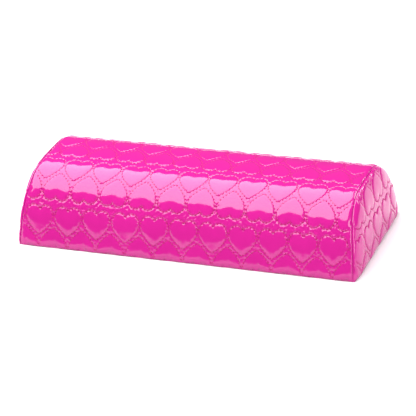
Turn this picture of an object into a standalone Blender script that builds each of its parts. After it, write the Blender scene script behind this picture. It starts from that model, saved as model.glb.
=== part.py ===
"""A manicure hand rest: a half-round foam block in a heart-quilted patent vinyl cover.

Metres, +Z up. The origin is the middle of the underside, X runs along the rest and the front faces -Y.
Each panel is drawn flat, as it is cut and quilted, and is then laid on the block along its arc length.
"""

import math

import bmesh
import bpy
import numpy as np
from mathutils import Vector
from mathutils.geometry import delaunay_2d_cdt

MM = 0.001

# The block, measured over the stitches of the cover
SEAM_LENGTH = 0.2915  # between the two end seams, along the base
BLOCK_WIDTH = 0.1266
BLOCK_HEIGHT = 0.0611
WALL_HEIGHT = 0.0092  # upright stretch above the base, where the curve begins
SHOULDER_FULLNESS = 3.6  # 2 is an ellipse, more fills the shoulders out
CROWN_FULLNESS = 1.4  # 2 is an ellipse, less brings the flanks in below the top
END_LEAN = 0.0070  # how far each end seam stands in at the top
END_LEAN_POWER = 1.6
END_BULGE = 0.0018  # how far the foam swells out past its end seam
END_SHOULDER = 0.014  # width of the rounded edge of that swelling
END_ROUNDING = 2.4
BASE_BULGE_SHARE = 0.35  # what is left of the swelling at the flat base
BASE_BULGE_RISE = 0.020

# Thicknesses and clearance
COVER_THICKNESS = 0.0020  # vinyl, sponge wadding and backing, at a stitch
RIM_THICKNESS = 0.0010  # an end panel where it is sewn in
BASE_THICKNESS = 0.0015
GAP = 0.0003

# One quilted heart, tip to lobes
HEART_WIDTH = 0.0242
HEART_WAIST = 0.0165  # height of its widest point above the tip
TIP_RISE = 0.0087  # how far the flank keeps low beside the tip: less is a blunter tip
LOBE_RISE = 0.0082  # the lobes above the waist
CLEFT_DEPTH = 0.0034  # the notch between the lobes
HEART_PITCH = 0.0257
TIP_OVERLAP = 0.0068  # how far opposed tips pass each other
LOBE_GAP = 0.0046  # between opposed lobes
PUFF_HEIGHT = 0.0011  # crown of a heart over its stitches
GAP_PUFF_HEIGHT = 0.0005  # wadding between the lobes of opposed hearts
PUFF_REACH = 0.0030  # how far in from the stitches the crown is full
COVER_FIRST_TIPS = 0.0149  # first line of tips above the front bottom edge
END_FIRST_TIPS = 0.0117  # first line of tips above the base, on the end panels

# Fineness of the meshes
FLANK_STEPS = 3
LOBE_STEPS = 5
FINE_STEPS = 16
MIDDLE_SHARE = 0.9  # height of a heart's middle, as a share of its waist height
OUTER_RING = 0.83  # rings of points over a crown, as shares of the outline's distance from that middle
INNER_RING = 0.36
INNER_RING_SKIP = 3  # the inner ring keeps one outline point in this many
EDGE_STEP = 0.0055
EDGE_CLEARANCE = 0.0014  # no quilting point lies nearer than this to a panel's edge
GRID_STEP = 0.0077  # over the swelling ends
GRID_MARGIN = 0.0028
LINING_STEP = 0.030
SHARP_ANGLE = 50
ARC_SAMPLES = 6001
ARC_STEPS = 641

VINYL_PINK = (0.90, 0.024, 0.38, 1.0)
FOAM_CREAM = (0.80, 0.72, 0.50, 1.0)

heart_height = HEART_WAIST + LOBE_RISE
row_step = heart_height - TIP_OVERLAP / 2 + LOBE_GAP / 2
half_width = BLOCK_WIDTH / 2


def clear_scene():
    for old in list(bpy.data.objects):
        bpy.data.objects.remove(old, do_unlink=True)


def block_section():
    """The D section from the front bottom edge over the top: arc length, y, z and the outward normal."""
    turn = np.linspace(0.0, math.pi, ARC_SAMPLES)
    across = np.abs(np.cos(turn)) ** (2 / SHOULDER_FULLNESS)
    rise = np.abs(np.sin(turn)) ** (2 / CROWN_FULLNESS)
    y = np.concatenate(([-half_width], -half_width * np.sign(np.cos(turn)) * across, [half_width]))
    z = np.concatenate(([0.0], WALL_HEIGHT + (BLOCK_HEIGHT - WALL_HEIGHT) * rise, [0.0]))
    arc = np.concatenate(([0.0], np.cumsum(np.hypot(np.diff(y), np.diff(z)))))
    even = np.linspace(0.0, arc[-1], ARC_STEPS)
    y = np.interp(even, arc, y)
    z = np.interp(even, arc, z)
    run_y = np.gradient(y, even)
    run_z = np.gradient(z, even)
    length = np.hypot(run_y, run_z)
    return even, y, z, -run_z / length, run_y / length


ARC, ARC_Y, ARC_Z, NORMAL_Y, NORMAL_Z = block_section()
arc_length = ARC[-1]
arc_stations = np.linspace(0, arc_length, round(arc_length / EDGE_STEP) + 1)


def seam_x(z):
    """Where the end seam lies along X at this height."""
    return SEAM_LENGTH / 2 - END_LEAN * np.clip(z / BLOCK_HEIGHT, 0, 1) ** END_LEAN_POWER


def on_section(along, lift):
    """The point at this arc length round the block, raised along the block's normal."""
    y = np.interp(along, ARC, ARC_Y) + lift * np.interp(along, ARC, NORMAL_Y)
    z = np.interp(along, ARC, ARC_Z) + lift * np.interp(along, ARC, NORMAL_Z)
    return y, z


def inset_from_section(y, z):
    """How far a point of an end lies inside the curved edge of the D."""
    return np.hypot(y[:, None] - ARC_Y, z[:, None] - ARC_Z).min(axis=1)


def swelling(y, z, start):
    """How far the block's end stands out past the seam; the rounding begins this far inside the edge."""
    inside = np.clip((inset_from_section(y, z) - start) / END_SHOULDER, 0, 1)
    low = np.clip(z / BASE_BULGE_RISE, 0, 1)
    share = BASE_BULGE_SHARE + (1 - BASE_BULGE_SHARE) * low * low * (3 - 2 * low)
    return END_BULGE * share * (1 - (1 - inside) ** END_ROUNDING)


def lining_x(y, z):
    """The inner face of an end panel."""
    return seam_x(z) + GAP + swelling(y, z, COVER_THICKNESS)


def heart_outline(flank_steps, lobe_steps):
    """One stitched heart, tip at the origin and lobes up, as points all round it."""
    half = HEART_WIDTH / 2
    t = np.linspace(0, 1, flank_steps + 1)
    flank_u = 2 * t * (1 - t) * half + t * t * half
    flank_v = 2 * t * (1 - t) * TIP_RISE + t * t * HEART_WAIST
    notch = math.asin((LOBE_RISE - CLEFT_DEPTH) / LOBE_RISE)
    lobe_radius = half / (1 + math.cos(notch))
    angle = np.linspace(0, math.pi - notch, lobe_steps + 1)[1:]
    lobe_u = half - lobe_radius + lobe_radius * np.cos(angle)
    lobe_v = HEART_WAIST + LOBE_RISE * np.sin(angle)
    right = np.column_stack((np.append(flank_u, lobe_u), np.append(flank_v, lobe_v)))
    left = right[-2:0:-1] * (-1, 1)
    return np.vstack((right, left))


def depth_inside(outline, u, v):
    """How deep a point lies inside a closed outline, and below zero outside it."""
    edge = np.roll(outline, -1, axis=0) - outline
    point = np.column_stack((u, v))[:, None]
    along = ((point - outline) * edge).sum(axis=2) / (edge * edge).sum(axis=1)
    nearest = outline + np.clip(along, 0, 1)[..., None] * edge
    distance = np.linalg.norm(point - nearest, axis=2).min(axis=1)
    above_start = outline[:, 1] > point[..., 1]
    above_end = outline[:, 1] + edge[:, 1] > point[..., 1]
    rise = np.where(edge[:, 1] == 0, 1.0, edge[:, 1])
    crossing = outline[:, 0] + (point[..., 1] - outline[:, 1]) / rise * edge[:, 0]
    crossings = (above_start != above_end) & (point[..., 0] < crossing)
    return np.where(crossings.sum(axis=1) % 2 == 1, distance, -distance)


def quilt_depth(u, v, first_tips):
    """How deep a point of a flat panel lies inside the heart that holds it."""
    beside = np.abs((u + HEART_PITCH / 2) % HEART_PITCH - HEART_PITCH / 2)
    period = 2 * row_step
    above = (v - first_tips) % period
    heart = heart_outline(FINE_STEPS, FINE_STEPS)
    depth = np.full(len(u), -PUFF_REACH)
    for tips in (0.0, period):
        upright = depth_inside(heart, beside, above - tips + TIP_OVERLAP / 2)
        inverted = depth_inside(heart, HEART_PITCH / 2 - beside, tips + TIP_OVERLAP / 2 - above)
        depth = np.maximum(depth, np.maximum(upright, inverted))
    return depth


def puff(depth, edge):
    """Height of the wadding over its stitches, in hearts and between them, held down at a panel's edge."""
    rise = np.minimum(np.abs(depth), edge)
    share = np.clip(rise / PUFF_REACH, 0, 1)
    return np.where(depth > 0, PUFF_HEIGHT, GAP_PUFF_HEIGHT) * np.sqrt(1 - (1 - share) ** 2)


def heart_places(low, high, first_tips):
    """The tip of every heart that may reach into a flat panel, and whether its lobes are up."""
    (low_u, low_v), (high_u, high_v) = low, high
    first_row = math.floor((low_v - first_tips) / row_step) - 1
    last_row = math.ceil((high_v - first_tips) / row_step) + 1
    for row in range(first_row, last_row + 1):
        upright = row % 2 == 0
        first_column = math.floor(low_u / HEART_PITCH) - 1
        last_column = math.ceil(high_u / HEART_PITCH) + 1
        tips = first_tips + row_step * (row if upright else row + 1)
        for column in range(first_column, last_column + 1):
            if upright:
                yield (column * HEART_PITCH, tips - TIP_OVERLAP / 2), 1
            else:
                yield ((column + 0.5) * HEART_PITCH, tips + TIP_OVERLAP / 2), -1


def quilt_points(low, high, first_tips, edge_distance):
    """Points on the stitches, over the crowns and between the lobes, and the stitched edges."""
    outline = heart_outline(FLANK_STEPS, LOBE_STEPS)
    middle = np.array((0.0, HEART_WAIST * MIDDLE_SHARE))
    rings = (
        outline,
        middle + (outline - middle) * OUTER_RING,
        middle + (outline[1::INNER_RING_SKIP] - middle) * INNER_RING,
        middle[None],
        np.array(((HEART_PITCH / 2, heart_height + LOBE_GAP / 2),)),
    )
    points = []
    edges = []
    for tip, way in heart_places(low, high, first_tips):
        for ring in rings:
            placed = np.array(tip) + ring * (1, way)
            kept = edge_distance(placed[:, 0], placed[:, 1]) > EDGE_CLEARANCE
            index = np.where(kept, np.cumsum(kept) - 1 + len(points), -1)
            points.extend(placed[kept])
            if ring is outline:
                pairs = zip(index, np.roll(index, -1))
                edges.extend((int(a), int(b)) for a, b in pairs if a >= 0 and b >= 0)
    return np.array(points), edges


def triangulate(outline, points, edges):
    """Delaunay triangles inside an outline; the outline's own points keep the first places."""
    count = len(outline)
    both = np.vstack((outline, points)) if len(points) else outline
    flat = [Vector(point) for point in both / MM]
    shifted = [(a + count, b + count) for a, b in edges]
    found = delaunay_2d_cdt(flat, shifted, [list(range(count))], 1, 1e-5, True)
    corners = np.array(found[0]) * MM
    place = {source: i for i, sources in enumerate(found[3]) for source in sources}
    border = [place[i] for i in range(count)]
    order = border + sorted(set(range(len(corners))) - set(border))
    rank = {old: new for new, old in enumerate(order)}
    middles = corners[np.array(found[2])].mean(axis=1)
    inside = depth_inside(outline, middles[:, 0], middles[:, 1]) > 0
    faces = [tuple(rank[i] for i in face) for face, kept in zip(found[2], inside) if kept]
    return corners[order], faces


def material(name, colour, roughness):
    made = bpy.data.materials.new(name)
    made.use_nodes = True
    shader = made.node_tree.nodes["Principled BSDF"]
    shader.inputs["Base Color"].default_value = colour
    shader.inputs["Roughness"].default_value = roughness
    shader.inputs["Metallic"].default_value = 0.0
    made.diffuse_color = colour
    return made


def finish(obj, collection, colour, roughness):
    collection.objects.link(obj)
    obj.data.materials.append(material(obj.name + "_finish", colour, roughness))


def closed_body(name, outline, face_layers):
    """A solid between two faces over one flat outline. A layer is (points, edges, place in space)."""
    body = bmesh.new()
    borders = []
    for points, edges, place in face_layers:
        flat, faces = triangulate(outline, points, edges)
        corners = [body.verts.new(corner) for corner in place(flat[:, 0], flat[:, 1])]
        borders.append(corners[: len(outline)])
        for face in faces:
            body.faces.new([corners[i] for i in face])
    first, second = borders
    for i in range(len(outline)):
        after = (i + 1) % len(outline)
        body.faces.new((first[i], first[after], second[after], second[i]))
    bmesh.ops.recalc_face_normals(body, faces=body.faces)
    mesh = bpy.data.meshes.new(name)
    body.to_mesh(mesh)
    body.free()
    mesh.shade_smooth()
    mesh.set_sharp_from_angle(angle=math.radians(SHARP_ANGLE))
    return bpy.data.objects.new(name, mesh)


def lining_rows(half):
    """Rows of points for the cover's inner face at the block's own stations, each row joined by edges."""
    reach = half - END_LEAN - EDGE_STEP
    across = np.linspace(-reach, reach, round(2 * reach / LINING_STEP) + 1)
    u, v = (part.ravel() for part in np.meshgrid(across, arc_stations[1:-1]))
    edges = [(i, i + 1) for i in range(len(u) - 1) if v[i] == v[i + 1]]
    return np.column_stack((u, v)), edges


def make_top_cover(collection):
    """The one panel that runs from the front edge over the top to the back edge."""

    def edge_distance(u, v):
        side = seam_x(np.interp(v, ARC, ARC_Z)) - np.abs(u)
        return np.minimum(side, np.minimum(v, arc_length - v))

    def quilted(u, v):
        lift = puff(quilt_depth(u, v, COVER_FIRST_TIPS), edge_distance(u, v))
        return np.column_stack((u, *on_section(v, lift)))

    def plain(u, v):
        return np.column_stack((u, *on_section(v, -COVER_THICKNESS)))

    half = SEAM_LENGTH / 2
    low = (-half, 0.0)
    high = (half, arc_length)
    side = seam_x(np.interp(arc_stations, ARC, ARC_Z))
    along = np.linspace(-half, half, round(SEAM_LENGTH / EDGE_STEP) + 1)[1:-1]
    outline = np.vstack(
        (
            np.column_stack((along, np.zeros(len(along)))),
            np.column_stack((side, arc_stations)),
            np.column_stack((along[::-1], np.full(len(along), arc_length))),
            np.column_stack((-side[::-1], arc_stations[::-1])),
        )
    )
    layers = (
        (*quilt_points(low, high, COVER_FIRST_TIPS, edge_distance), quilted),
        (*lining_rows(half), plain),
    )
    finish(closed_body("top_cover", outline, layers), collection, VINYL_PINK, 0.12)


def d_outline(inset, floor):
    """The D shape of an end, set in from the stitched surface, flat along its floor."""
    lowest = floor + EDGE_CLEARANCE
    clear = (arc_stations > lowest) & (arc_stations < arc_length - lowest)
    up = np.concatenate(([floor], arc_stations[clear], [arc_length - floor]))
    y, z = on_section(up, -inset)
    along = np.linspace(y[-1], y[0], round(BLOCK_WIDTH / EDGE_STEP) + 1)[1:-1]
    base = np.column_stack((along, np.full(len(along), z[0])))
    return np.vstack((np.column_stack((y, z)), base))


def d_grid(floor):
    """Points inside the D, for the faces that follow the swelling of the ends."""
    across = np.arange(-half_width, half_width, GRID_STEP)
    up = np.arange(floor + GRID_STEP / 2, BLOCK_HEIGHT, GRID_STEP)
    y, z = (part.ravel() for part in np.meshgrid(across, up))
    inside = (np.abs(y) < half_width) & (z < np.interp(y, ARC_Y, ARC_Z))
    kept = inside & (inset_from_section(y, z) > COVER_THICKNESS + GAP + GRID_MARGIN)
    return np.column_stack((y[kept], z[kept]))


def make_end_panel(collection, name, side):
    """A D-shaped quilted panel, sewn to the cover round its curved edge."""

    def edge_distance(y, z):
        inside = (np.abs(y) < half_width) & (z < np.interp(y, ARC_Y, ARC_Z))
        return np.where(inside, np.minimum(inset_from_section(y, z), z), -1.0)

    def quilted(y, z):
        inset = inset_from_section(y, z)
        thick = RIM_THICKNESS + (COVER_THICKNESS - RIM_THICKNESS) * np.clip(inset / END_SHOULDER, 0, 1)
        x = seam_x(z) + GAP + thick + swelling(y, z, 0.0)
        lift = puff(quilt_depth(y, z, END_FIRST_TIPS), np.minimum(inset, z))
        return np.column_stack((side * (x + lift), y, z))

    def plain(y, z):
        return np.column_stack((side * lining_x(y, z), y, z))

    low = (-half_width, 0.0)
    high = (half_width, BLOCK_HEIGHT)
    floor = BASE_THICKNESS + GAP
    backed = np.vstack((d_outline(COVER_THICKNESS + GAP, floor), d_grid(floor)))
    layers = (
        (*quilt_points(low, high, END_FIRST_TIPS, edge_distance), quilted),
        (backed, [], plain),
    )
    outline = d_outline(0.0, 0.0)
    finish(closed_body(name, outline, layers), collection, VINYL_PINK, 0.12)


def make_foam_core(collection):
    """The cut foam block that fills the cover, with its ends swelling into the end panels."""

    def end_face(side):
        def place(y, z):
            return np.column_stack((side * (lining_x(y, z) - GAP), y, z))

        return place

    floor = BASE_THICKNESS + GAP
    outline = d_outline(COVER_THICKNESS + GAP, floor)
    grid = d_grid(floor)
    layers = ((grid, [], end_face(1)), (grid, [], end_face(-1)))
    finish(closed_body("foam_core", outline, layers), collection, FOAM_CREAM, 0.95)


def make_base_panel(collection):
    """The plain flat underside, between the bottom edges of the other panels."""
    edge_y = half_width - COVER_THICKNESS - GAP
    y = np.linspace(-edge_y, edge_y, round(BLOCK_WIDTH / EDGE_STEP) + 1)
    reach = lining_x(y, np.zeros(len(y))) - GAP
    outline = np.vstack((np.column_stack((reach, y)), np.column_stack((-reach[::-1], y[::-1]))))
    curve = bpy.data.curves.new("base_panel", "CURVE")
    curve.dimensions = "2D"
    curve.fill_mode = "BOTH"
    curve.extrude = BASE_THICKNESS / 2
    spline = curve.splines.new("POLY")
    spline.points.add(len(outline) - 1)
    for point, (x, across) in zip(spline.points, outline):
        point.co = (x, across, 0.0, 1.0)
    spline.use_cyclic_u = True
    panel = bpy.data.objects.new("base_panel", curve)
    panel.location.z = BASE_THICKNESS / 2
    finish(panel, collection, VINYL_PINK, 0.30)


def main():
    clear_scene()
    collection = bpy.data.collections.new("manicure_hand_rest")
    bpy.context.scene.collection.children.link(collection)
    make_foam_core(collection)
    make_base_panel(collection)
    make_top_cover(collection)
    make_end_panel(collection, "end_panel_left", -1)
    make_end_panel(collection, "end_panel_right", 1)


main()
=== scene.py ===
import math

import bmesh
import bpy
import numpy as np
from mathutils import Matrix, Vector, noise
from mathutils.geometry import delaunay_2d_cdt


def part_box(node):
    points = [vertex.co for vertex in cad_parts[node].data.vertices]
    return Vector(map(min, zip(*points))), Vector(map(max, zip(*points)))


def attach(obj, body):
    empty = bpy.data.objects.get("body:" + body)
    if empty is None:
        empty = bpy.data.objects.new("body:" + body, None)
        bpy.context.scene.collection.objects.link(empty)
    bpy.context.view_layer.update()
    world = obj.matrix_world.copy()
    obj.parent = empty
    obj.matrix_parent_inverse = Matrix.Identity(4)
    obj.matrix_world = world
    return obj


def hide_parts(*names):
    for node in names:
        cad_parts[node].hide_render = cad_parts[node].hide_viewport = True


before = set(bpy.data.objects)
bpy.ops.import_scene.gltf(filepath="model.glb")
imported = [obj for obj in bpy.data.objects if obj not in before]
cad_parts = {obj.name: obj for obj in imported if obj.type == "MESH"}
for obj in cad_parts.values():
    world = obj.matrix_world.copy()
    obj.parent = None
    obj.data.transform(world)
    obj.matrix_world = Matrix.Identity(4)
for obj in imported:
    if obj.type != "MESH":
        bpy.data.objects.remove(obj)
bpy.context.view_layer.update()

# FOAM BLOCK
# The filling is one block of cut polyurethane foam, hidden by the cover on every side. Its solid keeps its
# shape. It was sawn from a slab with a hot wire, which leaves open cells about 0.6 mm wide on a matt face.
MM = 0.001


def linear(hex_colour):
    """An sRGB hex colour as linear red, green, blue and a full alpha."""
    shares = [int(hex_colour[i:i + 2], 16) / 255 for i in (1, 3, 5)]
    return (*(s / 12.92 if s <= 0.04045 else ((s + 0.055) / 1.055) ** 2.4 for s in shares), 1.0)


def add_node(tree, kind, settings=None, sockets=None, links=None):
    """Adds a shader node with its settings, its fixed sockets and its links from other sockets."""
    made = tree.nodes.new("ShaderNode" + kind)
    for name, value in (settings or {}).items():
        setattr(made, name, value)
    for name, value in (sockets or {}).items():
        made.inputs[name].default_value = value
    for name, source in (links or {}).items():
        tree.links.new(source, made.inputs[name])
    return made


def new_material(name):
    """An empty node material with its Principled shader, and that shader's node tree."""
    made = bpy.data.materials.new(name)
    made.use_nodes = True
    return made, made.node_tree, made.node_tree.nodes["Principled BSDF"]


def two_tones(tree, share, dark, pale):
    """A colour that runs from a dark tone to a pale one with a texture's value."""
    ramp = add_node(tree, "ValToRGB", links={"Fac": share})
    ramp.color_ramp.elements[0].color = linear(dark)
    ramp.color_ramp.elements[1].color = linear(pale)
    return ramp.outputs["Color"]


# Cut polyurethane foam: open cells scatter the light, so it is matt. Each small pit of an open cell is
# painted darker than the cell walls, a painted shade
foam_cell = 0.6 * MM
pore_depth = 0.2 * MM
cut_foam, tree, shader = new_material("cut_polyurethane_foam")
place = add_node(tree, "TexCoord").outputs["Object"]
cells = add_node(tree, "TexVoronoi", sockets={"Scale": 1 / foam_cell}, links={"Vector": place})
# painted shade: the colour darkens where the bump sinks each pit
pore_shade = two_tones(tree, cells.outputs["Distance"], "#C9B98F", "#EFE6C8")
pits = add_node(tree, "Bump", sockets={"Strength": 0.6, "Distance": pore_depth},
                links={"Height": cells.outputs["Distance"]})
tree.links.new(pore_shade, shader.inputs["Base Color"])
tree.links.new(pits.outputs["Normal"], shader.inputs["Normal"])
shader.inputs["Roughness"].default_value = 0.95
shader.inputs["IOR"].default_value = 1.45
foam_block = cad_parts["foam_core"]
foam_block.data.materials.clear()
foam_block.data.materials.append(cut_foam)

# BASE PANEL
# The underside is one flat piece of unquilted vinyl, sewn to the other panels along its edges.
# Calendered PVC on a knit backing: a fine pressed grain with cells about 1 mm wide keeps its gloss soft.
grain_cell = 1.0 * MM
grain_depth = 0.06 * MM
rubbed_patch = 18 * MM
base_vinyl, tree, shader = new_material("calendered_vinyl_underside")
place = add_node(tree, "TexCoord").outputs["Object"]
grain = add_node(tree, "TexVoronoi", settings={"feature": "DISTANCE_TO_EDGE"},
                 sockets={"Scale": 1 / grain_cell}, links={"Vector": place})
rub = add_node(tree, "TexNoise", sockets={"Scale": 1 / rubbed_patch, "Detail": 3.0},
               links={"Vector": place})
tint = two_tones(tree, rub.outputs["Fac"], "#A41A70", "#AE2078")
press = add_node(tree, "Bump", sockets={"Strength": 0.5, "Distance": grain_depth},
                 links={"Height": grain.outputs["Distance"]})
dull = add_node(tree, "MapRange", sockets={"To Min": 0.30, "To Max": 0.42},
                links={"Value": rub.outputs["Fac"]})
tree.links.new(tint, shader.inputs["Base Color"])
tree.links.new(dull.outputs["Result"], shader.inputs["Roughness"])
tree.links.new(press.outputs["Normal"], shader.inputs["Normal"])
shader.inputs["IOR"].default_value = 1.53
base_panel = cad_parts["base_panel"]
base_panel.data.materials.clear()
base_panel.data.materials.append(base_vinyl)

# TOP COVER
# One panel runs from the front bottom edge over the top to the back. It is patent vinyl over sponge wadding
# and a thin backing, quilted flat in rows of hearts and then pulled over the block, so the hearts are pads.
puff_height = 1.1 * MM
cover_thickness = 2.0 * MM
cover_high = Vector(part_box("top_cover")[1])
seam_half = cover_high.x
half_width = cover_high.y - puff_height
block_height = cover_high.z - puff_height
wall_height = 9.2 * MM
shoulder_fullness = 3.6
crown_fullness = 1.4
foot_length = 6 * MM  # the stretch at each bottom edge in which the flank turns upright
steepest_flank = math.radians(74.3)  # no flank is steeper than this above its foot
curve_points = 12001  # along the plain curve from which the section is read
section_points = 1601
corner_softness = 45  # section points over which a turn is eased, an odd count
end_lean = 7.0 * MM
end_lean_power = 1.6


def block_section():
    """The D section from the front bottom edge over the top: arc length, y, z and the outward normal."""
    turn = np.linspace(0.0, math.pi, curve_points)
    across = np.abs(np.cos(turn)) ** (2 / shoulder_fullness)
    rise = np.abs(np.sin(turn)) ** (2 / crown_fullness)
    y = np.concatenate(([-half_width], -half_width * np.sign(np.cos(turn)) * across, [half_width]))
    z = np.concatenate(([0.0], wall_height + (block_height - wall_height) * rise, [0.0]))
    arc = np.concatenate(([0.0], np.cumsum(np.hypot(np.diff(y), np.diff(z)))))
    even = np.linspace(0.0, arc[-1], section_points)
    y = np.interp(even, arc, y)
    z = np.interp(even, arc, z)
    slope = np.arctan2(np.gradient(z, even), np.gradient(y, even))
    from_edge = np.minimum(even, even[-1] - even)
    steepest = np.interp(from_edge, (0, foot_length), (math.pi / 2, steepest_flank))
    slope = np.clip(slope, -steepest, steepest)
    smooth = np.hanning(corner_softness)
    slope = np.convolve(np.pad(slope, corner_softness // 2, "edge"), smooth / smooth.sum(), "valid")
    step = even[1]
    y = np.concatenate(([0.0], np.cumsum(np.cos((slope[1:] + slope[:-1]) / 2) * step)))
    z = np.concatenate(([0.0], np.cumsum(np.sin((slope[1:] + slope[:-1]) / 2) * step)))
    # The eased slopes don't quite lead back down to the floor, so the rest is spread along the section
    return even, y - y[-1] / 2, z - z[-1] * even / even[-1], -np.sin(slope), np.cos(slope)


arc, arc_y, arc_z, normal_y, normal_z = block_section()
arc_length = arc[-1]
base_half_width = arc_y[-1]


def seam_x(z):
    """Where the end seam lies along X at this height."""
    return seam_half - end_lean * np.clip(z / block_height, 0, 1) ** end_lean_power


def on_section(along, lift):
    """The point at this arc length round the block, raised along the block's normal."""
    y = np.interp(along, arc, arc_y) + lift * np.interp(along, arc, normal_y)
    z = np.interp(along, arc, arc_z) + lift * np.interp(along, arc, normal_z)
    return y, z


heart_width = 24.2 * MM
heart_waist = 16.5 * MM
tip_rise = 8.7 * MM
lobe_rise = 8.2 * MM
cleft_depth = 3.4 * MM
heart_pitch = 25.7 * MM
tip_overlap = 6.8 * MM
lobe_gap = 4.6 * MM
row_step = heart_waist + lobe_rise - tip_overlap / 2 + lobe_gap / 2
stitch_length = 3.0 * MM
points_a_stitch = 4


def heart_outline():
    """One heart as stitched, tip at the origin and lobes up, with equal points to each stitch."""
    half = heart_width / 2
    fine_points = 200
    t = np.linspace(0, 1, fine_points)
    notch = math.asin((lobe_rise - cleft_depth) / lobe_rise)
    lobe_radius = half / (1 + math.cos(notch))
    angle = np.linspace(0, math.pi - notch, fine_points)[1:]
    side_u = 2 * t * (1 - t) * half + t * t * half
    side_v = 2 * t * (1 - t) * tip_rise + t * t * heart_waist
    u = np.append(side_u, half - lobe_radius + lobe_radius * np.cos(angle))
    v = np.append(side_v, heart_waist + lobe_rise * np.sin(angle))
    run = np.concatenate(([0.0], np.cumsum(np.hypot(np.diff(u), np.diff(v)))))
    even = np.linspace(0, run[-1], round(run[-1] / stitch_length) * points_a_stitch + 1)
    right = np.column_stack((np.interp(even, run, u), np.interp(even, run, v)))
    return np.vstack((right, right[-2:0:-1] * (-1, 1)))


stitched = heart_outline()


def depth_inside(outline, points):
    """How deep points lie inside a closed outline, and below zero outside it."""
    edge = np.roll(outline, -1, axis=0) - outline
    depth = np.empty(len(points))
    batch = 4000  # points taken at once, to keep memory small
    for start in range(0, len(points), batch):
        point = points[start:start + batch, None]
        along = ((point - outline) * edge).sum(axis=2) / (edge * edge).sum(axis=1)
        nearest = outline + np.clip(along, 0, 1)[..., None] * edge
        distance = np.linalg.norm(point - nearest, axis=2).min(axis=1)
        starts_above = outline[:, 1] > point[..., 1]
        ends_above = outline[:, 1] + edge[:, 1] > point[..., 1]
        rise = np.where(edge[:, 1] == 0, 1.0, edge[:, 1])
        crossing = outline[:, 0] + (point[..., 1] - outline[:, 1]) / rise * edge[:, 0]
        crossings = (starts_above != ends_above) & (point[..., 0] < crossing)
        depth[start:start + batch] = np.where(crossings.sum(axis=1) % 2 == 1, distance, -distance)
    return depth


far_outside = -1.0  # a metre, which no point reaches


def quilt_depth(points):
    """Depth of points inside the heart that holds them, the first line of tips being at zero height."""
    beside = np.abs((points[:, 0] + heart_pitch / 2) % heart_pitch - heart_pitch / 2)
    above = points[:, 1] % (2 * row_step)
    depth = np.full(len(points), far_outside)
    for tips in (0.0, 2 * row_step):
        upright = np.column_stack((beside, above - tips + tip_overlap / 2))
        inverted = np.column_stack((heart_pitch / 2 - beside, tips + tip_overlap / 2 - above))
        for local in (upright, inverted):
            depth = np.maximum(depth, depth_inside(stitched, local))
    return depth


# Rings of mesh points round a heart: how far each lies inside the stitches in mm, and its step from point
# to point of the stitched outline. The rings near the stitches are fine, the ones on the crown coarse.
heart_rings = ((-0.42, 1), (0.0, 1), (0.45, 1), (1.0, 1), (1.8, 2), (2.9, 3), (4.4, 4), (6.6, 7), (9.2, 14))
parallel_rings = 2  # mm; deeper rings shrink towards the heart's middle instead
hole_radius = 0.4  # mm
crowded_share = 0.85  # a ring point nearer to any stitch than this share of its ring's depth is left out
least_depth = 0.2 * MM
ring_centre = 0.9  # of the height to the heart's waist


def heart_points():
    """Points round one heart: place, depth, way along the stitches, and nearness to a needle hole."""
    after = np.roll(stitched, -1, axis=0) - np.roll(stitched, 1, axis=0)
    outward = np.column_stack((after[:, 1], -after[:, 0]))
    outward /= np.linalg.norm(outward, axis=1)[:, None]
    middle = np.array((0.0, heart_waist * ring_centre))
    count = len(stitched)
    places, ways, holes = [], [], []
    for depth, skip in heart_rings:
        pick = np.arange(0, count, skip)
        if depth < parallel_rings:
            ring = stitched[pick] - outward[pick] * depth * MM
        else:
            ring = middle + (stitched[pick] - middle) * (1 - depth * MM / (heart_width / 2))
        places.append(ring)
        ways.append(pick / count)
        holes.append((pick % points_a_stitch == 0) * math.exp(-((depth / hole_radius) ** 2)))
    points = np.vstack(places)
    points_depth = depth_inside(stitched, points)
    nominal = np.repeat([depth for depth, _ in heart_rings], [len(ring) for ring in places])
    on_stitches = nominal == 0
    clear = np.abs(points_depth) >= crowded_share * np.abs(nominal) * MM
    clear &= np.abs(points_depth) > least_depth
    kept = (clear & (nominal * points_depth >= 0)) | on_stitches
    depth = np.where(on_stitches, 0.0, points_depth)
    return points[kept], depth[kept], np.concatenate(ways)[kept], np.concatenate(holes)[kept]


def pillow(share):
    """A rounded rise from 0 at a stitch to 1 on the crown, with a soft start."""
    softness = 0.06
    soft = np.sqrt(share ** 2 + softness ** 2) - softness
    return np.sqrt(1 - (1 - np.clip(soft, 0, 1)) ** 2)


stitch_lift = 0.38 * MM  # the padded surface along a row of stitches, where it is lowest
groove_width = 1.6 * MM  # from a stitch to where its pad stands up
groove_rise = 0.25 * MM
crown_width = 9 * MM
crown_rise = 0.45 * MM
ridge_width = 1.1 * MM
ridge_rise = 0.12 * MM


def quilt_lift(depth):
    """Height of the padding: full in the hearts, drawn down at the stitches, a low ridge in the gaps."""
    heart = groove_rise * pillow(depth / groove_width) + crown_rise * pillow(depth / crown_width)
    ridge = ridge_rise * pillow(-depth / ridge_width)
    return stitch_lift + np.where(depth > 0, heart, ridge)


def heart_tips(low, high, first_tips):
    """The tip of every heart that may reach into a flat panel, and whether its lobes are up."""
    first_row = math.floor((low[1] - first_tips) / row_step) - 1
    last_row = math.ceil((high[1] - first_tips) / row_step) + 1
    first_column = math.floor(low[0] / heart_pitch) - 1
    last_column = math.ceil(high[0] / heart_pitch) + 1
    for row in range(first_row, last_row + 1):
        for column in range(first_column, last_column + 1):
            if row % 2 == 0:
                yield (column * heart_pitch, first_tips + row_step * row - tip_overlap / 2), 1
            else:
                tips = first_tips + row_step * (row + 1)
                yield ((column + 0.5) * heart_pitch, tips + tip_overlap / 2), -1


rng = np.random.default_rng(14)
gap_spacing = 0.85 * MM
gap_scatter = 0.15  # mm


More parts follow.
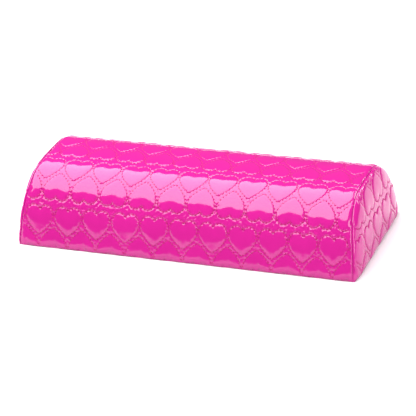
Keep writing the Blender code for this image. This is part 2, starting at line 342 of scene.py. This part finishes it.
def gap_points():
    """Points in the wider gaps of one repeat of the pattern."""
    across = np.arange(0, heart_pitch, gap_spacing)
    up = np.arange(0, 2 * row_step, gap_spacing)
    u, v = (part.ravel() for part in np.meshgrid(across, up))
    scatter = rng.uniform(-gap_scatter, gap_scatter, (len(u), 2)) * MM
    points = np.column_stack((u, v)) + scatter
    depth = quilt_depth(points)
    wide = depth < -gap_spacing
    return points[wide], depth[wide]


heart_place, heart_depth, heart_way, heart_hole = heart_points()
gap_place, gap_depth = gap_points()


pucker_reach = 2.0 * MM  # how far from the stitches the gathered vinyl still puckers
pucker_start = 0.6 * MM  # how near to them the thread holds it flat
pucker_height = 0.7 * MM
puckers_round = 30  # the turns of noise round one heart
side_puckers = 0.7  # of the pucker height, along the sides of a heart
lobe_puckers = 1.5  # and what its lobes have on top of that
lobe_blend = 4 * MM  # the height over which a heart's sides pass into its lobes
lobe_draw = 0.35  # of the pucker height, how much deeper the tight curves of the lobes are drawn
hole_depth = 0.3 * MM
fullness = (0.9, 1.12)  # how unevenly the wadding fills the hearts
most_lean = 0.02  # of a pad's crown, as a slope
lean_pivot = 0.8  # of the height to the heart's waist
lean_blend = 4 * MM
crease_width = 2.2 * MM
crease_height = 0.6 * MM
edge_clearance = 0.45 * MM  # no quilting point lies nearer to an edge, so the triangles there stay even


def quilt_panel(low, high, first_tips, edge_distance, gathers, pull):
    """Every point of a quilted panel, its height over the block and its distance from the panel's edge."""
    places, lifts, depths = [], [], []
    reach = np.abs(heart_depth)
    held = np.exp(-reach / pucker_reach) * (1 - np.exp(-reach / pucker_start))
    lobes = np.clip((heart_place[:, 1] - heart_waist) / lobe_blend + 0.5, 0, 1)
    drawn = lobe_draw * lobes * np.exp(-reach / groove_width)
    for tip, way in heart_tips(low, high, first_tips):
        placed = np.array(tip) + heart_place * (1, way)
        if not (edge_distance(placed) > 0).any():
            continue
        seed = float(rng.uniform(0, 900))
        fuller = rng.uniform(*fullness)
        lean = rng.uniform(-most_lean, most_lean, 2)
        waves = np.array([noise.noise(Vector((share * puckers_round, seed, 0.0))) for share in heart_way])
        pucker = waves * (side_puckers + lobe_puckers * lobes) * held - drawn
        lift = quilt_lift(heart_depth) * np.where(heart_depth > 0, fuller, 1.0)
        lift = lift + pucker * gathers(placed) * pucker_height - heart_hole * hole_depth
        tilt = (heart_place - (0, heart_waist * lean_pivot)) @ lean
        lifts.append(lift + tilt * np.clip(heart_depth / lean_blend, 0, 1))
        places.append(placed)
        depths.append(heart_depth)
    period = 2 * row_step
    rows = range(math.floor((low[1] - first_tips) / period), math.ceil((high[1] - first_tips) / period))
    columns = range(math.floor(low[0] / heart_pitch), math.ceil(high[0] / heart_pitch))
    for row in rows:
        for column in columns:
            placed = gap_place + (column * heart_pitch, first_tips + row * period)
            crease = np.array([noise.noise(Vector((*point, 0.0)) / crease_width) for point in placed])
            lifts.append(quilt_lift(gap_depth) + crease * gathers(placed) * crease_height)
            places.append(placed)
            depths.append(gap_depth)
    places = np.vstack(places)
    pulled = np.concatenate(lifts) - pull * np.exp(-np.abs(np.concatenate(depths)) / ridge_width)
    edge = edge_distance(places)
    kept = edge > edge_clearance
    return places[kept], pulled[kept], edge[kept]


edge_slope = 4 * MM  # how far from a seam the padding has its full height
edge_turn = 1.4 * MM  # how far from a seam the panel turns in
edge_roll = 0.5 * MM  # how far a sewn edge sinks towards its seam


def settle(lift, edge):
    """Pulls the padding down to its seam along a panel's edges."""
    share = np.clip(edge / edge_slope, 0, 1)
    return lift * pillow(share) - edge_roll * (1 - pillow(edge / edge_turn))


def triangulate(outline, points, edge_distance):
    """Delaunay triangles inside an outline, whose own points come first."""
    count = len(outline)
    both = np.vstack((outline, points))
    # Type 1 keeps the triangles inside the outline. In mm, points nearer than 1e-5 count as one.
    flat = [Vector(point) for point in both / MM]
    _, _, faces, sources, _, _ = delaunay_2d_cdt(flat, [], [list(range(count))], 1, 1e-5, True)
    source = np.array([min(merged) for merged in sources])
    faces = np.array(faces)
    middles = both[source][faces].mean(axis=1)
    return source[faces[edge_distance(middles) > 0]]


sharp_turn = math.radians(75)


def closed_skin(name, outline, outer, inner, outer_place, inner_place, edge_distance):
    """A closed mesh between a fine outer face and a plain inner one over the same flat outline."""
    count = len(outline)
    outer_faces = triangulate(outline, outer, edge_distance)
    inner_faces = triangulate(outline, inner, edge_distance)
    shift = count + len(outer)
    ring = np.arange(count)
    after = (ring + 1) % count
    walls = np.column_stack((ring, after, after + shift, ring + shift))
    places = np.vstack((outer_place, inner_place))
    mesh = bpy.data.meshes.new(name)
    faces = outer_faces.tolist() + (inner_faces[:, ::-1] + shift).tolist() + walls.tolist()
    mesh.from_pydata(places.tolist(), [], faces)
    body = bmesh.new()
    body.from_mesh(mesh)
    loose = [vert for vert in body.verts if not vert.link_faces]
    bmesh.ops.delete(body, geom=loose, context="VERTS")
    bmesh.ops.recalc_face_normals(body, faces=body.faces)
    body.to_mesh(mesh)
    body.free()
    mesh.shade_smooth()
    mesh.set_sharp_from_angle(angle=sharp_turn)
    made = bpy.data.objects.new(name, mesh)
    bpy.context.scene.collection.objects.link(made)
    return made


thread_radius = 0.62 * MM
thread_rise = 0.32 * MM  # drawn tight, each stitch lies flattened on the vinyl
thread_sides = 5
seam_clearance = 1.6 * MM  # no heart's stitch comes nearer to a seam
# The rings of one stitch: the share of the way from hole to hole, of the full thickness, and the rise
stitch_rings = (
    (0.22, 0.5, -0.25 * MM),
    (0.34, 1.0, 0.09 * MM),
    (0.66, 1.0, 0.09 * MM),
    (0.78, 0.5, -0.25 * MM),
)


def sew(name, low, high, first_tips, edge_distance, place):
    """Every stitch of a panel's hearts as a short thread that dives into a needle hole at each end."""
    start = stitched[::points_a_stitch]
    end = np.roll(start, -1, axis=0)
    turn = np.arange(thread_sides) * 2 * math.pi / thread_sides
    corners, faces = [], []
    for tip, way in heart_tips(low, high, first_tips):
        first = np.array(tip) + start * (1, way)
        last = np.array(tip) + end * (1, way)
        inside = np.minimum(edge_distance(first), edge_distance(last)) > seam_clearance
        for a, b in zip(first[inside], last[inside]):
            run = (b - a) / np.linalg.norm(b - a)
            beside = np.array((-run[1], run[0]))
            base = len(stitch_rings) * thread_sides * len(corners)
            rings = []
            for share, thickness, ring_rise in stitch_rings:
                centre = a + (b - a) * share
                across = np.cos(turn) * thread_radius * thickness
                rise = stitch_lift + ring_rise + np.sin(turn) * thread_rise * thickness
                rings.append(np.column_stack((centre + across[:, None] * beside, rise)))
            corners.append(np.vstack(rings))
            for ring in range(len(stitch_rings) - 1):
                near = base + thread_sides * ring
                far = near + thread_sides
                for i in range(thread_sides):
                    j = (i + 1) % thread_sides
                    faces.append((near + i, near + j, far + j, far + i))
            faces.append(tuple(base + i for i in range(thread_sides - 1, -1, -1)))
            faces.append(tuple(far + i for i in range(thread_sides)))
    corners = np.vstack(corners)
    mesh = bpy.data.meshes.new(name)
    mesh.from_pydata(place(*corners.T).tolist(), [], faces)
    mesh.shade_smooth()
    mesh.materials.append(sewing_thread)
    made = bpy.data.objects.new(name, mesh)
    bpy.context.scene.collection.objects.link(made)
    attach(made, "root")


# Patent vinyl: PVC with a clear lacquer rolled on while wet. It mirrors lights almost sharply over a dyed
# body, and the lacquer keeps a slight orange peel about 1.5 mm wide with a finer one of 0.4 mm in it.
peel_width = 1.5 * MM
fine_peel_width = 0.4 * MM
peel_depth = 0.02 * MM
dye_cloud = 35 * MM
patent_vinyl, tree, shader = new_material("lacquered_patent_vinyl")
place = add_node(tree, "TexCoord").outputs["Object"]
peel = add_node(tree, "TexNoise", sockets={"Scale": 1 / peel_width, "Detail": 2.0}, links={"Vector": place})
fine = add_node(tree, "TexNoise", sockets={"Scale": 1 / fine_peel_width, "Detail": 1.0},
                links={"Vector": place})
both = add_node(tree, "Math", settings={"operation": "MULTIPLY_ADD"}, sockets={1: 0.25},
                links={0: fine.outputs["Fac"], 2: peel.outputs["Fac"]})
waves = add_node(tree, "Bump", sockets={"Strength": 0.35, "Distance": peel_depth},
                 links={"Height": both.outputs["Value"]})
cloud = add_node(tree, "TexNoise", sockets={"Scale": 1 / dye_cloud, "Detail": 3.0}, links={"Vector": place})
dye = two_tones(tree, cloud.outputs["Fac"], "#AE1577", "#B81A7E")
sheen = add_node(tree, "MapRange", sockets={"To Min": 0.05, "To Max": 0.09},
                 links={"Value": cloud.outputs["Fac"]})
tree.links.new(dye, shader.inputs["Base Color"])
tree.links.new(sheen.outputs["Result"], shader.inputs["Roughness"])
tree.links.new(waves.outputs["Normal"], shader.inputs["Normal"])
shader.inputs["IOR"].default_value = 1.53

# Polyester sewing thread, twisted from plies about 0.4 mm thick: soft and matt beside the lacquer. The
# grooves between the plies are painted darker, a painted shade
ply_width = 0.4 * MM
ply_depth = 0.1 * MM
sewing_thread, tree, shader = new_material("twisted_polyester_thread")
place = add_node(tree, "TexCoord").outputs["Object"]
twist = add_node(tree, "TexNoise", sockets={"Scale": 1 / ply_width, "Detail": 1.0}, links={"Vector": place})
# painted shade: the colour darkens where the ply bump sinks
shade = two_tones(tree, twist.outputs["Fac"], "#9C0A58", "#B01068")
ply = add_node(tree, "Bump", sockets={"Strength": 0.5, "Distance": ply_depth},
               links={"Height": twist.outputs["Fac"]})
tree.links.new(shade, shader.inputs["Base Color"])
tree.links.new(ply.outputs["Normal"], shader.inputs["Normal"])
shader.inputs["Roughness"].default_value = 0.65
shader.inputs["IOR"].default_value = 1.5
shader.inputs["Specular IOR Level"].default_value = 0.3


def cover_edge(points):
    """How far points of the flat cover lie inside its nearest edge."""
    side = seam_x(np.interp(points[:, 1], arc, arc_z)) - np.abs(points[:, 0])
    return np.minimum(side, np.minimum(points[:, 1], arc_length - points[:, 1]))


flank_length = 50 * MM
crown_start = 66 * MM
smooth_gathers = 0.3


def cover_gathers(points):
    """The stitches gather the vinyl on both flanks; over the crown the foam holds it nearly smooth."""
    from_edge = np.minimum(points[:, 1], arc_length - points[:, 1])
    return np.interp(from_edge, (flank_length, crown_start), (1.0, smooth_gathers))


def cover_place(u, v, lift):
    """Where points of the flat cover come to lie round the block."""
    return np.column_stack((u, *on_section(v, lift)))


cover_first_tips = 14.9 * MM
edge_step = 1.0 * MM
lining_step = 4 * MM
lining_margin = 3 * MM
low = (-seam_half, 0.0)
high = (seam_half, arc_length)
up = np.linspace(0, arc_length, round(arc_length / edge_step) + 1)
side = seam_x(np.interp(up, arc, arc_z))
along = np.linspace(-seam_half, seam_half, round(2 * seam_half / edge_step) + 1)[1:-1]
border = np.vstack((
    np.column_stack((along, np.zeros(len(along)))),
    np.column_stack((side, up)),
    np.column_stack((along[::-1], np.full(len(along), arc_length))),
    np.column_stack((-side[::-1], up[::-1])),
))
quilted, lift, edge = quilt_panel(low, high, cover_first_tips, cover_edge, cover_gathers, 0.0)
lift = np.concatenate((np.full(len(border), -edge_roll), settle(lift, edge)))
outer = np.vstack((border, quilted))
outer_place = cover_place(*outer.T, lift)
lining_half = seam_half - end_lean - lining_margin
across = np.arange(-lining_half, lining_half, lining_step)
up = np.arange(lining_margin, arc_length - lining_margin, lining_step)
u, v = (part.ravel() for part in np.meshgrid(across, up))
lining = np.column_stack((u, v))
inner = np.vstack((border, lining))
inner_place = cover_place(*inner.T, -cover_thickness)
top_cover = closed_skin("quilted_top_cover", border, quilted, lining, outer_place, inner_place, cover_edge)
top_cover.data.materials.append(patent_vinyl)
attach(top_cover, "root")
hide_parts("top_cover")
sew("cover_quilting_thread", low, high, cover_first_tips, cover_edge, cover_place)

# END PANELS
# A D-shaped piece of the same quilted vinyl closes each end. It is sewn to the cover round its curve, and
# the foam behind it swells it out past the seam, less so along the flat base.
seam_gap = 0.3 * MM
rim_thickness = 1.0 * MM
end_bulge = 1.8 * MM
end_shoulder = 14.0 * MM
end_rounding = 2.4
base_bulge_share = 0.35
base_bulge_rise = 20.0 * MM
end_first_tips = 11.7 * MM
end_pull = 0.25 * MM  # how much deeper the stitches are drawn into the ends than into the cover
end_lining_step = 3 * MM
end_lining_margin = 2 * MM


def inset_from_section(y, z):
    """How far a point of an end lies inside the curved edge of the D."""
    return np.hypot(y[:, None] - arc_y, z[:, None] - arc_z).min(axis=1)


def swelling(y, z, start):
    """How far the block's end stands out past its seam."""
    inside = np.clip((inset_from_section(y, z) - start) / end_shoulder, 0, 1)
    rise = np.clip(z / base_bulge_rise, 0, 1)
    share = base_bulge_share + (1 - base_bulge_share) * rise * rise * (3 - 2 * rise)
    return end_bulge * share * (1 - (1 - inside) ** end_rounding)


def end_edge(points):
    """How far points of a flat end lie inside its nearest edge."""
    y, z = points.T
    inside = (np.abs(y) < base_half_width) & (z < np.interp(y, arc_y, arc_z))
    return np.where(inside, np.minimum(inset_from_section(y, z), z), far_outside)


def end_gathers(points):
    """An end is drawn over the foam nearly smooth all over, like the crown."""
    return np.full(len(points), smooth_gathers)


def rim_squeeze(inset):
    """The share of its size that a point keeps where the sewn rim draws the panel in."""
    return 1 - edge_roll * (1 - pillow(inset / edge_turn)) / half_width


def end_panel(name, node, way):
    """One quilted end; way is 1 on the right and -1 on the left."""
    up = np.linspace(0, arc_length, round(arc_length / edge_step) + 1)
    steps = round(2 * base_half_width / edge_step)
    along = np.linspace(base_half_width, -base_half_width, steps + 1)[1:-1]
    border = np.vstack((
        np.column_stack((np.interp(up, arc, arc_y), np.interp(up, arc, arc_z))),
        np.column_stack((along, np.zeros(len(along)))),
    ))
    low = (-base_half_width, 0.0)
    high = (base_half_width, block_height)
    quilted, lift, edge = quilt_panel(low, high, end_first_tips, end_edge, end_gathers, end_pull)
    lift = np.concatenate((np.zeros(len(border)), settle(lift, edge)))

    def place(y, z, lift):
        inset = inset_from_section(y, z)
        thick = rim_thickness + (cover_thickness - rim_thickness) * np.clip(inset / end_shoulder, 0, 1)
        x = seam_x(z) + seam_gap + thick + swelling(y, z, 0.0) + lift
        squeeze = rim_squeeze(inset)
        return np.column_stack((way * x, y * squeeze, z * squeeze))

    def place_stitch(y, z, lift):
        return place(y, z, lift - end_pull)

    outer = np.vstack((border, quilted))
    outer_place = place(*outer.T, lift)
    across = np.arange(-half_width, half_width, end_lining_step)
    rise = np.arange(end_lining_margin, block_height, end_lining_step)
    lining = np.column_stack([part.ravel() for part in np.meshgrid(across, rise)])
    lining = lining[end_edge(lining) > end_lining_margin]
    inner = np.vstack((border, lining))
    y, z = inner.T
    squeeze = rim_squeeze(inset_from_section(y, z))
    x = seam_x(z) + seam_gap + swelling(y, z, cover_thickness)
    inner_place = np.column_stack((way * x, y * squeeze, z * squeeze))
    panel = closed_skin(name, border, quilted, lining, outer_place, inner_place, end_edge)
    panel.data.materials.append(patent_vinyl)
    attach(panel, "root")
    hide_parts(node)
    sew(name + "_thread", low, high, end_first_tips, end_edge, place_stitch)


end_panel("quilted_end_left", "end_panel_left", -1)
end_panel("quilted_end_right", "end_panel_right", 1)

# STUDIO
# The rest stands on a board painted matt white. A broad softbox hangs overhead, a fill stands to the right
# of the camera, and a small softbox behind the right end. The camera stands and rolls as the photograph's
# outline and end seam ask.
camera_turn = math.radians(21.30)
camera_rise = math.radians(26.68)
camera_distance = 1.909
camera_roll = math.radians(-3.75)
camera_target = Vector((0.0, 0.0, 0.0186))
focal_pixels = 2253.4
image_pixels = 416

back = Vector((
    math.sin(camera_turn) * math.cos(camera_rise),
    -math.cos(camera_turn) * math.cos(camera_rise),
    math.sin(camera_rise),
))
place = back * camera_distance
forward = (camera_target - place).normalized()
right = forward.cross(Vector((0, 0, 1))).normalized()
upward = right.cross(forward)
rolled_right = right * math.cos(camera_roll) + upward * math.sin(camera_roll)
rolled_up = upward * math.cos(camera_roll) - right * math.sin(camera_roll)
lens = bpy.data.cameras.new("photo_camera")
lens.sensor_width = 36.0
lens.lens = focal_pixels * lens.sensor_width / image_pixels
lens.clip_end = 50.0
camera = bpy.data.objects.new("photo_camera", lens)
bpy.context.scene.collection.objects.link(camera)
camera.matrix_world = Matrix((
    (rolled_right.x, rolled_up.x, -forward.x, place.x),
    (rolled_right.y, rolled_up.y, -forward.y, place.y),
    (rolled_right.z, rolled_up.z, -forward.z, place.z),
    (0, 0, 0, 1),
))
bpy.context.scene.camera = camera


def soft_light(name, place, target, size, power):
    """A rectangular softbox that looks from one place to another."""
    light = bpy.data.lights.new(name, "AREA")
    light.shape = "RECTANGLE"
    light.size, light.size_y = size
    light.energy = power
    box = bpy.data.objects.new(name, light)
    bpy.context.scene.collection.objects.link(box)
    box.location = place
    box.rotation_euler = (Vector(target) - Vector(place)).to_track_quat("-Z", "Y").to_euler()


soft_light("softbox_overhead", place=(-0.85, 0.0, 1.2), target=(-0.85, 0.0, 0.0),
           size=(2.2, 1.96), power=72.0)
soft_light("fill_beside_camera", place=(1.7, -1.2, 0.95), target=(0.0, 0.0, 0.03),
           size=(1.4, 1.4), power=38.0)
soft_light("back_right", place=(0.9, 1.0, 0.7), target=(0.35, 0.45, 0.0), size=(0.6, 0.6), power=9.0)

floor_half = 4.0
floor_mesh = bpy.data.meshes.new("studio_floor")
floor_body = bmesh.new()
bmesh.ops.create_grid(floor_body, x_segments=1, y_segments=1, size=floor_half)
floor_body.to_mesh(floor_mesh)
floor_body.free()
floor = bpy.data.objects.new("studio_floor", floor_mesh)
bpy.context.scene.collection.objects.link(floor)
floor_paint, tree, shader = new_material("matt_white_board")
shader.inputs["Base Color"].default_value = linear("#E4E4E4")
shader.inputs["Roughness"].default_value = 0.9
floor_mesh.materials.append(floor_paint)

world = bpy.data.worlds.new("studio_air")
world.use_nodes = True
world.node_tree.nodes["Background"].inputs["Color"].default_value = linear("#FFFFFF")
world.node_tree.nodes["Background"].inputs["Strength"].default_value = 0.15
bpy.context.scene.world = world
bpy.context.scene.view_settings.view_transform = "Standard"
